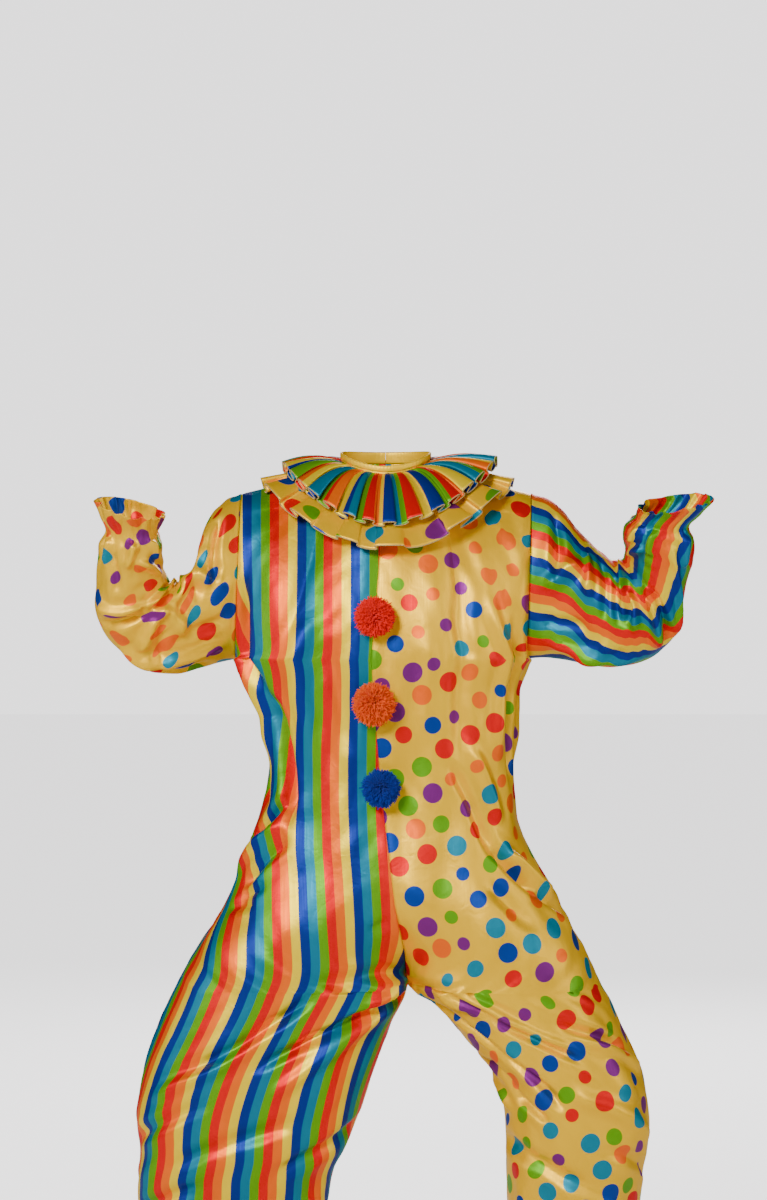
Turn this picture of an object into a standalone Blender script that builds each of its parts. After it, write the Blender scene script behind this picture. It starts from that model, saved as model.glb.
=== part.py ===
"""Clown jumpsuit, worn: four body panels with legs, two sleeves, neckband, two ruffles and pompoms.

Metres, +Z up. The front faces -Y and the wearer's left arm is at +X. The origin is the middle of
the neck opening, where the wearer's neck and shoulders hold the suit up.
"""

from collections import namedtuple

import bpy
import numpy as np

MM = 0.001

WALL = 1.5 * MM
SEAM = 0.45 * MM  # how far each panel's edge stops short of a seam that lies flat
CENTRE_SEAM = 0.75 * MM  # what the centre edges add where the legs part and walls face each other
SHOULDER_SEAM = 0.9 * MM
ARMHOLE_SEAM = 1.5 * MM

COLUMNS = 8  # of each body panel, from its centre edge to its side seam
YOKE_ROWS = 7
CHEST_ROWS = 6
CROTCH_ROWS = 4
LEG_ROWS = 8
SLEEVE_COLUMNS = 2 * YOKE_ROWS

ARMPIT = -283 * MM
HIP = -570 * MM  # here the centre seams start to curve in towards the crotch
CROTCH = -742 * MM
SEAM_SHIFT = 200 * MM  # over this drop below the crotch the legs' seams move to the leg's own middle
TRUNK_POWER = 0.72  # the powers of a section's sine and cosine: under 1, it is squarer than an oval
LEG_POWER = 0.78
FULLEST_COLUMNS = 33

NECK_WIDTH = 63 * MM  # half of the neck opening, across
NECK_DEPTH = 66 * MM  # half of it, front to back
NECK_BACK = 4 * MM  # height of the neckband's lower edge behind
NECK_DROP = 25 * MM  # how much lower that edge is in front
BAND_HEIGHT = 8 * MM
NECK_LAYER = 3 * MM  # band, upper ruffle, lower ruffle and panels are sewn this far apart in height
NECKLINE_SHARE = 3 / 8  # share of a panel's columns that ends in the neckline
SHOULDER_SAG = 0.8
BACK_SLIT = 0.6 * MM  # half of the slit behind, where band and ruffles open
BAND_COLUMNS = 37

GATHER_ROWS = 3  # rows at each cuff and ankle that the elastic gathers
GATHER = 3 * MM

PLACKET_WIDTH = 28 * MM
PLACKET_ROWS = 13
PLACKET_RISE = WALL + 0.9 * MM
PLACKET_NECK_RISE = 1.6 * MM  # what it rises more in its first rows, where the panels twist
PLACKET_TOP = 0.35  # where it starts, as a share of the panels' first row


def table(names, *rows):
    """Columns by name, in metres, from rows in millimetres."""
    return dict(zip(names.split(), np.array(rows, float).T * MM))


# One row a section: its height, its side seam, its centre seam or inseam, and its depth each way.
RIGHT_HALF = table(
    "z side centre front back",
    (-283, -212, -20, 122, 116),
    (-330, -188, -17, 120, 114),
    (-365, -171, -14, 118, 112),
    (-440, -165, -8, 116, 112),
    (-500, -175, -2, 118, 118),
    (-550, -195, 4, 124, 130),
    (-617, -220, 12, 131, 143),
    (-690, -265, 26, 134, 148),
    (-742, -295, 31, 132, 145),
    (-800, -321, 7, 129, 140),
    (-875, -344, -21, 126, 130),
    (-926, -351, -38, 124, 124),
    (-973, -346, -58, 118, 120),
    (-1011, -350, -77, 108, 122),
    (-1103, -346, -88, 82, 130),
    (-1183, -321, -79, 58, 134),
    (-1228, -300, -80, 38, 128),
    (-1252, -284, -101, 22, 112),
    (-1268, -256, -132, 6, 92),
    (-1279, -260, -128, 10, 95),
    (-1290, -270, -118, 18, 102),
)
LEFT_HALF = table(
    "z side centre front back",
    (-283, 198, -20, 122, 116),
    (-330, 182, -17, 120, 114),
    (-440, 181, -8, 116, 112),
    (-500, 184, -2, 118, 118),
    (-550, 200, 4, 124, 130),
    (-617, 239, 12, 131, 143),
    (-690, 279, 26, 134, 148),
    (-742, 304, 31, 132, 145),
    (-763, 315, 64, 131, 143),
    (-798, 330, 96, 129, 139),
    (-829, 344, 123, 127, 134),
    (-885, 366, 162, 126, 128),
    (-934, 372, 170, 122, 122),
    (-1023, 361, 173, 104, 122),
    (-1103, 351, 176, 82, 128),
    (-1152, 330, 165, 66, 130),
    (-1217, 335, 140, 40, 126),
    (-1239, 304, 151, 22, 108),
    (-1254, 282, 179, 6, 90),
    (-1266, 285, 172, 10, 94),
    (-1279, 292, 158, 18, 102),
)

# One row a ring, from armhole to cuff: its upper (inner) point, its lower (outer) point, the depth
# of its middle, half its size front to back, and how much its front edge hangs.
RIGHT_SLEEVE = table(
    "upper_x upper_z lower_x lower_z middle_y half_depth hang",
    (-204, -50, -212, -283, 0, 62, 0),
    (-226, -60, -235, -288, -5, 66, 0),
    (-245, -79, -263, -296, -10, 68, 0),
    (-257, -104, -295, -304, -18, 69, 0),
    (-261, -135, -325, -302, -27, 68, 0),
    (-269, -161, -353, -288, -37, 66, 0),
    (-284, -174, -377, -265, -50, 63, 2),
    (-297, -177, -397, -237, -62, 60, 4),
    (-304, -168, -404, -208, -76, 58, 6),
    (-310, -154, -400, -178, -90, 55, 8),
    (-310, -139, -397, -147, -105, 52, 9),
    (-308, -124, -393, -122, -117, 47, 10),
    (-314, -108, -384, -102, -130, 37, 9),
    (-310, -96, -390, -84, -137, 42, 10),
    (-304, -84, -398, -62, -145, 48, 12),
)
LEFT_SLEEVE = table(
    "upper_x upper_z lower_x lower_z middle_y half_depth hang",
    (206, -50, 198, -283, 0, 62, 0),
    (231, -60, 223, -281, -5, 66, 0),
    (250, -76, 252, -284, -10, 68, 0),
    (266, -97, 282, -290, -18, 69, 0),
    (284, -118, 314, -294, -27, 68, 0),
    (302, -134, 343, -291, -37, 66, 0),
    (318, -144, 369, -282, -48, 64, 2),
    (329, -144, 390, -265, -58, 62, 4),
    (335, -137, 408, -240, -70, 59, 5),
    (334, -127, 413, -205, -84, 57, 7),
    (329, -117, 417, -175, -97, 54, 8),
    (328, -107, 423, -147, -110, 51, 9),
    (332, -97, 424, -120, -121, 45, 10),
    (343, -87, 417, -99, -130, 37, 9),
    (346, -80, 433, -79, -137, 42, 10),
    (347, -74, 449, -59, -145, 48, 12),
)

Half = namedtuple("Half", "side body sleeve")
RIGHT = Half(-1, RIGHT_HALF, RIGHT_SLEEVE)
LEFT = Half(1, LEFT_HALF, LEFT_SLEEVE)
FRONT = -1
BACK = 1

# The two ruffles: how far their outer edges reach and how high they are on each side, and how deep
# a pleat is at the edge, in millimetres; then the power by which they fall, the power by which the
# pleats grow, and how many pleats they have.
Ruffle = namedtuple("Ruffle", "reach height wave arch fall grow pleats")
Sides = namedtuple("Sides", "right left front back")
UPPER_RUFFLE = Ruffle(Sides(146, 158, 128, 116), Sides(-10, -3, -95, -52), 4.5, 5, 1.5, 1.3, 22)
LOWER_RUFFLE = Ruffle(Sides(174, 181, 132, 124), Sides(-37, -33, -128, -96), 6.5, 0, 1.15, 2.5, 15)
RUFFLE_ROWS = 3
COLUMNS_A_PLEAT = 4

# The largest folds: soft troughs between two places of a panel, each given by how far across the
# panel it is, from centre edge 0 to side seam 1, and its height; depth and half width in millimetres.
Fold = namedtuple("Fold", "half face across_a z_a across_b z_b depth width")
FOLDS = (
    Fold(RIGHT, FRONT, 0.85, -170, 0.55, -420, 9, 30),
    Fold(RIGHT, FRONT, 0.10, -735, 0.62, -860, 12, 30),
    Fold(RIGHT, FRONT, 0.25, -690, 0.80, -770, 8, 28),
    Fold(RIGHT, FRONT, 0.35, -960, 0.85, -1010, 8, 28),
    Fold(LEFT, FRONT, 0.50, -540, 0.78, -640, 12, 28),
    Fold(LEFT, FRONT, 0.12, -750, 0.66, -840, 12, 30),
    Fold(LEFT, FRONT, 0.05, -880, 0.42, -930, 9, 28),
    Fold(LEFT, FRONT, 0.60, -200, 0.50, -400, 7, 28),
    Fold(RIGHT, BACK, 0.15, -735, 0.60, -850, 12, 30),
    Fold(LEFT, BACK, 0.15, -740, 0.62, -840, 12, 30),
    Fold(RIGHT, BACK, 0.75, -300, 0.45, -470, 8, 30),
    Fold(LEFT, BACK, 0.75, -300, 0.45, -470, 8, 30),
)
FOLD_POINTS = 9

Pompom = namedtuple("Pompom", "name z radius colour")
POMPOMS = (
    Pompom("pompom_red", -222, 27, "F5322D"),
    Pompom("pompom_orange", -342, 29, "F4692B"),
    Pompom("pompom_blue", -458, 25.5, "1C4DA1"),
)
POMPOM_SEGMENTS = 14
POMPOM_RINGS = 8
POMPOM_GAP = 2.2 * MM

STRIPED = "EE6A35"
DOTTED = "F2C744"
BAND_YELLOW = "F2C21A"


def at(columns, name, z):
    """The column at a height, on a straight line between the rows above and below it."""
    return np.interp(-z, -columns["z"], columns[name])


def points(x, y, z):
    return np.stack(np.broadcast_arrays(x, y, z), axis=-1)


def neck_height(turn):
    """Height of the neckband's lower edge; turn is 0 in front and half a circle behind."""
    return NECK_BACK - NECK_DROP * ((1 + np.cos(turn)) / 2) ** 3


def sleeve_ring(columns, row, turn):
    """An oval through a ring's upper point (turn 0), its front, its lower point and its back."""
    upper = points(columns["upper_x"][row], 0.0, columns["upper_z"][row])
    lower = points(columns["lower_x"][row], 0.0, columns["lower_z"][row])
    middle = (upper + lower) / 2 + points(0.0, columns["middle_y"][row], 0.0)
    across = (upper - lower) / 2
    forward = points(0.0, -columns["half_depth"][row], -columns["hang"][row])
    return middle + np.cos(turn)[..., None] * across + np.sin(turn)[..., None] * forward


def depth_share(across, closing):
    """How deep a section is across the panel: a half oval that closes into a leg's ring."""
    trunk = np.clip(np.cos(across * np.pi / 2), 0, 1) ** TRUNK_POWER
    leg = np.clip(np.sin(across * np.pi), 0, 1) ** LEG_POWER
    return trunk + (leg - trunk) * closing


def lower_body(half, face, across, z):
    """Below the armpit: a half oval round the trunk, which closes into a ring round each leg.

    The centre seam curves in from the hip to the crotch by a square law, and the half oval turns
    into the leg's ring by the same share. At its fullest each section has its row's depth.
    """
    side_x = at(half.body, "side", z)
    centre_x = at(half.body, "centre", z)
    depth = face * at(half.body, "front" if face == FRONT else "back", z)
    leg_middle = (at(half.body, "back", z) - at(half.body, "front", z)) / 2
    seam_y = leg_middle * np.clip((CROTCH - z) / SEAM_SHIFT, 0, 1)
    sunk = np.clip((HIP - z) / (HIP - CROTCH), 0, 1)
    closing = sunk**2
    fullest = depth_share(np.linspace(0, 1, FULLEST_COLUMNS), closing[..., None]).max(axis=-1)
    trunk_share = np.sin(across * np.pi / 2) ** TRUNK_POWER
    cosine = np.cos(across * np.pi)
    leg_share = (1 - np.sign(cosine) * np.abs(cosine) ** LEG_POWER) / 2
    x = centre_x + (side_x - centre_x) * (trunk_share + (leg_share - trunk_share) * closing)
    return points(x, seam_y + (depth - seam_y) * depth_share(across, closing) / fullest, z)


def top_edge(half, face, across):
    """The neckline's quarter oval and then the shoulder seam, out to the armhole's highest point."""
    turn = np.clip(across / NECKLINE_SHARE, 0, 1) * np.pi / 2
    out = np.clip((across - NECKLINE_SHARE) / (1 - NECKLINE_SHARE), 0, 1)
    tip_x = abs(half.sleeve["upper_x"][0])
    tip_z = half.sleeve["upper_z"][0]
    whole_turn = turn if face == FRONT else np.pi - turn
    neckline = neck_height(whole_turn) - 3 * NECK_LAYER
    x = half.side * (NECK_WIDTH * np.sin(turn) + (tip_x - NECK_WIDTH) * out)
    y = face * NECK_DEPTH * np.cos(turn)
    return points(x, y, neckline + (tip_z - neckline) * out**SHOULDER_SAG)


def yoke(half, face, across, down):
    """From the top edge to the armpit: a patch stretched between its four edges (Coons)."""
    across, down = np.broadcast_arrays(across, down)
    chest = np.full_like(down, ARMPIT)
    nowhere = np.zeros_like(across)
    top = top_edge(half, face, across)
    bottom = lower_body(half, face, across, chest)
    neck_point = top_edge(half, face, nowhere)
    tip = top_edge(half, face, nowhere + 1)
    centre_point = lower_body(half, face, nowhere, chest)
    armpit = lower_body(half, face, nowhere + 1, chest)
    bow = np.sin(down * np.pi / 2)
    straight = neck_point + (centre_point - neck_point) * down[..., None]
    centre = straight + points(0.0, (centre_point - neck_point)[..., 1] * (bow - down), 0.0)
    arm = sleeve_ring(half.sleeve, 0, -face * down * np.pi)
    a, d = across[..., None], down[..., None]
    edges = (1 - d) * top + d * bottom + (1 - a) * centre + a * arm
    corners = (1 - d) * ((1 - a) * neck_point + a * tip) + d * ((1 - a) * centre_point + a * armpit)
    return edges - corners


def body_surface(half, face, across, level):
    """The panel's middle surface; level is the height, counted from 0 at the top edge in the yoke."""
    across, level = np.broadcast_arrays(across, level)
    upper = yoke(half, face, across, np.clip(level / ARMPIT, 0, 1))
    lower = lower_body(half, face, across, np.minimum(level, ARMPIT))
    return np.where((level > ARMPIT)[..., None], upper, lower)


def panel_levels(half):
    """Heights of a panel's rows, close together where the crotch curves and the ankle gathers."""
    ankle = half.body["z"][-6:]
    yoke_rows = np.linspace(0, ARMPIT, YOKE_ROWS + 1)
    chest_rows = np.linspace(ARMPIT, HIP, CHEST_ROWS + 1)[1:]
    crotch_rows = HIP + (CROTCH - HIP) * np.sin(np.linspace(0, np.pi / 2, CROTCH_ROWS + 1))[1:]
    leg_rows = np.linspace(CROTCH, ankle[0], LEG_ROWS + 1)[1:]
    return np.concatenate([yoke_rows, chest_rows, crotch_rows, leg_rows, ankle[1:]])


def unit(vectors):
    return vectors / np.linalg.norm(vectors, axis=-1, keepdims=True)


def pressed(grid, half, face):
    """The grid with each of its panel's folds pushed in, as a bell curve across the fold's line.

    The first and last columns stay, because the next panel is sewn to them.
    """
    inward = np.cross(np.gradient(grid, axis=0), np.gradient(grid, axis=1))
    inward = unit(inward) * half.side * face
    free = np.ones(grid.shape[1])
    free[[0, -1]] = 0
    for fold in FOLDS:
        if fold.half is not half or fold.face != face:
            continue
        along = np.linspace(0, 1, FOLD_POINTS)
        across = fold.across_a + (fold.across_b - fold.across_a) * along
        level = (fold.z_a + (fold.z_b - fold.z_a) * along) * MM
        line = body_surface(half, face, across, level)
        apart = np.linalg.norm(grid[:, :, None] - line, axis=-1).min(axis=-1)
        trough = free * fold.depth * MM * np.exp(-((apart / (fold.width * MM)) ** 2))
        grid = grid + inward * trough[..., None]
    return grid


def gathered(grid, centre):
    """The last rows, gathered by the elastic: every second column stands out from the centre."""
    growth = np.linspace(0, 1, GATHER_ROWS + 1)[1:, None, None]
    zigzag = np.where(np.arange(grid.shape[1]) % 2, 1.0, -1.0)[None, :, None]
    out = unit(grid[-GATHER_ROWS:] - centre)
    grid[-GATHER_ROWS:] += out * growth * zigzag * GATHER
    return grid


def body_panel(half, face):
    """One front or back, from neck and shoulder to the frill under the ankle elastic."""
    across = np.linspace(0, 1, COLUMNS + 1)[None, :]
    level = panel_levels(half)[:, None]
    grid = pressed(body_surface(half, face, across, level), half, face)
    ankle_x = (half.body["side"][-1] + half.body["centre"][-1]) / 2
    ankle_y = (half.body["back"][-1] - half.body["front"][-1]) / 2
    grid = gathered(grid, points(ankle_x, ankle_y, level[-GATHER_ROWS:]))
    sunk = np.clip((HIP - level[:, 0]) / (HIP - CROTCH), 0, 1)
    above = level[:, 0] >= CROTCH
    grid[above, 0, 0] += half.side * (SEAM + CENTRE_SEAM * sunk[above] ** 2)
    grid[level[:, 0] <= CROTCH, 0, 1] += face * SEAM
    grid[level[:, 0] <= ARMPIT, -1, 1] += face * SEAM
    grid[0, int(COLUMNS * NECKLINE_SHARE) :, 1] += face * SHOULDER_SEAM
    return grid


def sleeve(half):
    """A tube through the sleeve's rings; its first ring stands clear of the armhole."""
    turn = np.linspace(0, 2 * np.pi, SLEEVE_COLUMNS, endpoint=False)
    rings = [sleeve_ring(half.sleeve, row, turn) for row in range(len(half.sleeve["hang"]))]
    rings[0] = rings[0] + (half.side * ARMHOLE_SEAM, 0, 0)
    grid = np.array(rings)
    return gathered(grid, grid[-GATHER_ROWS:].mean(axis=1, keepdims=True))


def round_neck(columns):
    """Turns from the slit behind, round the front, and back to the slit."""
    slit = BACK_SLIT / NECK_WIDTH
    return np.linspace(slit - np.pi, np.pi - slit, columns)


def neckband():
    """A low standing band on the neck's oval."""
    turn = round_neck(BAND_COLUMNS)[None, :]
    height = np.array([[BAND_HEIGHT], [0.0]])
    return points(NECK_WIDTH * np.sin(turn), -NECK_DEPTH * np.cos(turn), neck_height(turn) + height)


def ruffle(shape, layer):
    """A pleated flounce from the neck's oval to its own outer edge.

    It runs out straight in plan, and falls by a power of the share out, with a slight arch. Each
    pleat is a sine wave square to the slope, and grows by a power of the share out.
    """
    turn = round_neck(shape.pleats * COLUMNS_A_PLEAT + 1)[None, :]
    out = np.linspace(0, 1, RUFFLE_ROWS + 1)[:, None]
    sine, cosine = np.sin(turn), np.cos(turn)
    reach_x = np.where(sine > 0, shape.reach.left, shape.reach.right) * MM * sine
    reach_y = -np.where(cosine > 0, shape.reach.front, shape.reach.back) * MM * cosine
    edge_side = np.where(sine > 0, shape.height.left, shape.height.right) * MM
    edge_end = np.where(cosine > 0, shape.height.front, shape.height.back) * MM
    edge_z = edge_side * sine**2 + edge_end * cosine**2
    neck_x, neck_y = NECK_WIDTH * sine, -NECK_DEPTH * cosine
    neck_z = neck_height(turn) - layer * NECK_LAYER
    z = neck_z + (edge_z - neck_z) * out**shape.fall + shape.arch * MM * np.sin(out * np.pi)
    grid = points(neck_x + (reach_x - neck_x) * out, neck_y + (reach_y - neck_y) * out, z)
    run = points(reach_x - neck_x, reach_y - neck_y, 0.0)
    fall = neck_z - edge_z
    slope = unit(unit(run) * fall[..., None] + points(0.0, 0.0, np.linalg.norm(run, axis=-1)))
    wave = shape.wave * MM * out**shape.grow * np.sin(shape.pleats * turn)
    return grid + slope * wave[..., None]


def placket(right_back, left_back):
    """The strip that laps the back opening, made from the panels' first columns and moved out."""
    edges = []
    for panel in (right_back, left_back):
        rows = panel[:PLACKET_ROWS].copy()
        rows[0] += (rows[1] - rows[0]) * PLACKET_TOP
        edges.append(rows[:, 0] + unit(rows[:, 1] - rows[:, 0]) * PLACKET_WIDTH / 2)
        edges.append(rows[:, 0])
    grid = np.stack([edges[0], (edges[1] + edges[3]) / 2, edges[2]], axis=1)
    normal = unit(np.cross(np.gradient(grid, axis=1), np.gradient(grid, axis=0)))
    rise = PLACKET_RISE + PLACKET_NECK_RISE * np.exp(-np.arange(PLACKET_ROWS) / 2)
    return grid + normal * rise[:, None, None]


def linear(hex_colour):
    """An sRGB hex colour as linear RGBA."""
    srgb = np.array([int(hex_colour[i : i + 2], 16) for i in (0, 2, 4)]) / 255
    rgb = np.where(srgb > 0.04045, ((srgb + 0.055) / 1.055) ** 2.4, srgb / 12.92)
    return (*rgb.tolist(), 1.0)


def finish(obj, hex_colour, roughness):
    """Material, smooth shading and the object's collection."""
    material = bpy.data.materials.new(obj.name)
    material.use_nodes = True
    shader = material.node_tree.nodes["Principled BSDF"]
    shader.inputs["Base Color"].default_value = linear(hex_colour)
    shader.inputs["Roughness"].default_value = roughness
    material.diffuse_color = linear(hex_colour)
    obj.data.materials.append(material)
    obj.data.shade_smooth()
    for collection in list(obj.users_collection):
        collection.objects.unlink(obj)
    bpy.data.collections["clown_jumpsuit"].objects.link(obj)


def cloth(name, grid, hex_colour, closed=False):
    """A wall of cloth on a grid of points; closed joins its last column to its first."""
    index = np.arange(grid.shape[0] * grid.shape[1]).reshape(grid.shape[:2])
    if closed:
        index = np.concatenate([index, index[:, :1]], axis=1)
    corners = (index[:-1, :-1], index[1:, :-1], index[1:, 1:], index[:-1, 1:])
    quads = np.stack(corners, axis=-1).reshape(-1, 4)
    mesh = bpy.data.meshes.new(name)
    mesh.from_pydata(grid.reshape(-1, 3).tolist(), [], quads.tolist())
    obj = bpy.data.objects.new(name, mesh)
    bpy.context.scene.collection.objects.link(obj)
    obj.modifiers.new("Facets", "TRIANGULATE").quad_method = "FIXED"
    wall = obj.modifiers.new("Wall", "SOLIDIFY")
    wall.thickness = WALL
    wall.offset = 0
    finish(obj, hex_colour, 0.4)


def pompom(shape, front):
    """A ball of yarn sewn on the centre seam, just off the front."""
    heights = front[:, 0, 2]
    x = np.interp(-shape.z * MM, -heights, front[:, 0, 0])
    y = np.interp(-shape.z * MM, -heights, front[:, 0, 1]) - shape.radius * MM - POMPOM_GAP
    bpy.ops.mesh.primitive_uv_sphere_add(
        segments=POMPOM_SEGMENTS,
        ring_count=POMPOM_RINGS,
        radius=shape.radius * MM,
        location=(x, y, shape.z * MM),
    )
    bpy.context.object.name = shape.name
    finish(bpy.context.object, shape.colour, 0.9)


def main():
    for obj in list(bpy.data.objects):
        bpy.data.objects.remove(obj, do_unlink=True)
    collection = bpy.data.collections.new("clown_jumpsuit")
    bpy.context.scene.collection.children.link(collection)

    front_right = body_panel(RIGHT, FRONT)
    back_right = body_panel(RIGHT, BACK)
    back_left = body_panel(LEFT, BACK)
    cloth("front_right", front_right, STRIPED)
    cloth("back_right", back_right, STRIPED)
    cloth("front_left", body_panel(LEFT, FRONT), DOTTED)
    cloth("back_left", back_left, DOTTED)
    cloth("sleeve_right", sleeve(RIGHT), DOTTED, closed=True)
    cloth("sleeve_left", sleeve(LEFT), STRIPED, closed=True)
    cloth("neckband", neckband(), BAND_YELLOW)
    cloth("collar_upper_frill", ruffle(UPPER_RUFFLE, 1), STRIPED)
    cloth("collar_lower_frill", ruffle(LOWER_RUFFLE, 2), DOTTED)
    cloth("back_placket", placket(back_right, back_left), DOTTED)
    for shape in POMPOMS:
        pompom(shape, front_right)


main()
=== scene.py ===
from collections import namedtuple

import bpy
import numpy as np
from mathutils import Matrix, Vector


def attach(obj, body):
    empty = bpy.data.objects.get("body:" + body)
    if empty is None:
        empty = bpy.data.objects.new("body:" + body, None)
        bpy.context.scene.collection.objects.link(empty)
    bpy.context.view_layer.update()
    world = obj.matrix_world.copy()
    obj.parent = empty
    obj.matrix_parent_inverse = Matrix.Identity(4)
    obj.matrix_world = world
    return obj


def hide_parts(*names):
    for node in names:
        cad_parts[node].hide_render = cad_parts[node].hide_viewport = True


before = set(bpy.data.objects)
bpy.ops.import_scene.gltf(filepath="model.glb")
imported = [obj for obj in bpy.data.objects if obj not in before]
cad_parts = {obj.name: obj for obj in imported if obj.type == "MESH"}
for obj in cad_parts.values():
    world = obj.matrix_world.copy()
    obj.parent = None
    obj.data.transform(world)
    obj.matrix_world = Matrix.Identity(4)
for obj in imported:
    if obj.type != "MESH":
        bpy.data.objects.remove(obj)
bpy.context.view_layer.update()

# Looks of the clown jumpsuit: printed satin with its creases, gathers, frills and yarn pompoms.
#
# Metres, +Z up. The front faces -Y and the wearer's left arm is at +X. Every cloth surface is a
# grid of points worked out from the suit's own tables of sizes, then creased and given a wall.

MM = 0.001

WALL = 0.7 * MM
COLUMNS = 88  # of a body panel, from its centre edge to its side seam
ARMPIT = -283 * MM
HIP = -570 * MM
CROTCH = -742 * MM
SEAM_SHIFT = 200 * MM  # below the crotch, over which a leg's seams move to its middle
TRUNK_POWER = 0.72  # of the sections' ovals: the lower, the squarer
LEG_POWER = 0.78
NECK_WIDTH = 63 * MM
NECK_DEPTH = 66 * MM
NECK_BACK = 4 * MM
NECK_DROP = 25 * MM
NECK_LAYER = 3 * MM  # from one layer of cloth at the neck down to the next
NECKLINE_SHARE = 3 / 8  # of a panel's top edge, before its shoulder seam
SHOULDER_SAG = 0.8
SHOULDER_START = 0.4  # of a panel's columns, from where front and back share the shoulder seam
ROW_SAMPLES = 481  # along a panel's row, before its points are set at equal steps
SHIN_TOP = 115 * MM  # above the ankle's edge, where the rows come closer together
LEG_BLEND = 20 * MM  # below the crotch, over which a leg's own seam and creases set in


def table(names, *rows):
    """Columns by name, in metres, from rows in millimetres."""
    return dict(zip(names.split(), np.array(rows, float).T * MM))


# One row a section: its height, its side seam, its centre seam or inseam, and its depth each way.
RIGHT_HALF = table(
    "z side centre front back",
    (-283, -212, -20, 122, 116),
    (-330, -188, -17, 120, 114),
    (-365, -171, -14, 118, 112),
    (-440, -165, -8, 116, 112),
    (-500, -175, -2, 118, 118),
    (-550, -195, 4, 124, 130),
    (-617, -220, 12, 131, 143),
    (-690, -265, 26, 134, 148),
    (-742, -295, 31, 132, 145),
    (-800, -321, 7, 129, 140),
    (-875, -344, -21, 126, 130),
    (-926, -351, -38, 124, 124),
    (-973, -346, -58, 118, 120),
    (-1011, -350, -77, 108, 122),
    (-1103, -346, -88, 82, 130),
    (-1183, -321, -79, 58, 134),
    (-1228, -300, -80, 38, 128),
    (-1252, -284, -101, 22, 112),
    (-1268, -256, -132, 6, 92),
    (-1279, -260, -128, 10, 95),
    (-1290, -270, -118, 18, 102),
)
LEFT_HALF = table(
    "z side centre front back",
    (-283, 198, -20, 122, 116),
    (-330, 182, -17, 120, 114),
    (-440, 181, -8, 116, 112),
    (-500, 184, -2, 118, 118),
    (-550, 200, 4, 124, 130),
    (-617, 239, 12, 131, 143),
    (-690, 279, 26, 134, 148),
    (-742, 304, 31, 132, 145),
    (-763, 315, 64, 131, 143),
    (-798, 330, 96, 129, 139),
    (-829, 344, 123, 127, 134),
    (-885, 366, 162, 126, 128),
    (-934, 372, 170, 122, 122),
    (-1023, 361, 173, 104, 122),
    (-1103, 351, 176, 82, 128),
    (-1152, 330, 165, 66, 130),
    (-1217, 335, 140, 40, 126),
    (-1239, 304, 151, 22, 108),
    (-1254, 282, 179, 6, 90),
    (-1266, 285, 172, 10, 94),
    (-1279, 292, 158, 18, 102),
)

# One row a ring, from armhole to cuff: its upper (inner) point, its lower (outer) point, the depth
# of its middle, half its size front to back, and how much its front edge hangs.
RIGHT_SLEEVE = table(
    "upper_x upper_z lower_x lower_z middle_y half_depth hang",
    (-204, -50, -212, -283, 0, 62, 0),
    (-226, -60, -235, -288, -5, 66, 0),
    (-245, -79, -263, -296, -10, 68, 0),
    (-257, -104, -295, -304, -18, 69, 0),
    (-261, -135, -325, -302, -27, 68, 0),
    (-269, -161, -353, -288, -37, 66, 0),
    (-284, -174, -377, -265, -50, 63, 2),
    (-297, -177, -397, -237, -62, 60, 4),
    (-304, -168, -404, -208, -76, 58, 6),
    (-310, -154, -400, -178, -90, 55, 8),
    (-310, -139, -397, -147, -105, 52, 9),
    (-308, -124, -393, -122, -117, 47, 10),
    (-314, -108, -384, -102, -130, 37, 9),
    (-310, -96, -390, -84, -137, 42, 10),
    (-304, -84, -398, -62, -145, 48, 12),
)
LEFT_SLEEVE = table(
    "upper_x upper_z lower_x lower_z middle_y half_depth hang",
    (206, -50, 198, -283, 0, 62, 0),
    (231, -60, 223, -281, -5, 66, 0),
    (250, -76, 252, -284, -10, 68, 0),
    (266, -97, 282, -290, -18, 69, 0),
    (284, -118, 314, -294, -27, 68, 0),
    (302, -134, 343, -291, -37, 66, 0),
    (318, -144, 369, -282, -48, 64, 2),
    (329, -144, 390, -265, -58, 62, 4),
    (335, -137, 408, -240, -70, 59, 5),
    (334, -127, 413, -205, -84, 57, 7),
    (329, -117, 417, -175, -97, 54, 8),
    (328, -107, 423, -147, -110, 51, 9),
    (332, -97, 424, -120, -121, 45, 10),
    (343, -87, 417, -99, -130, 37, 9),
    (346, -80, 433, -79, -137, 42, 10),
    (347, -74, 449, -59, -145, 48, 12),
)

Half = namedtuple("Half", "side body sleeve")
RIGHT = Half(-1, RIGHT_HALF, RIGHT_SLEEVE)
LEFT = Half(1, LEFT_HALF, LEFT_SLEEVE)
FRONT = -1
BACK = 1


# Surfaces


def smooth(knots, values, wanted):
    """A smooth curve through knots that never overshoots them (monotone cubic).

    The slope at a knot is the harmonic mean of the slopes on both sides of it, or 0 where those
    change sign; between two knots it is the cubic with their values and slopes.
    """
    step = np.diff(knots)
    pitch = np.diff(values) / step
    before, after = pitch[:-1], pitch[1:]
    same = before * after > 0
    mean = np.where(same, 2 * before * after / np.where(same, before + after, 1), 0)
    slope = np.concatenate([pitch[:1], mean, pitch[-1:]])
    wanted = np.clip(wanted, knots[0], knots[-1])
    i = np.clip(np.searchsorted(knots, wanted, side="right") - 1, 0, len(step) - 1)
    t = (wanted - knots[i]) / step[i]
    at_knots = (1 + 2 * t) * (1 - t) ** 2 * values[i] + t * t * (3 - 2 * t) * values[i + 1]
    return at_knots + t * (1 - t) * step[i] * ((1 - t) * slope[i] - t * slope[i + 1])


def at(columns, name, z):
    """The column at a height."""
    return smooth(-columns["z"], columns[name], -z)


def points(x, y, z):
    """Three coordinates, spread out over one grid, as its points."""
    return np.stack(np.broadcast_arrays(x, y, z), axis=-1)


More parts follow.
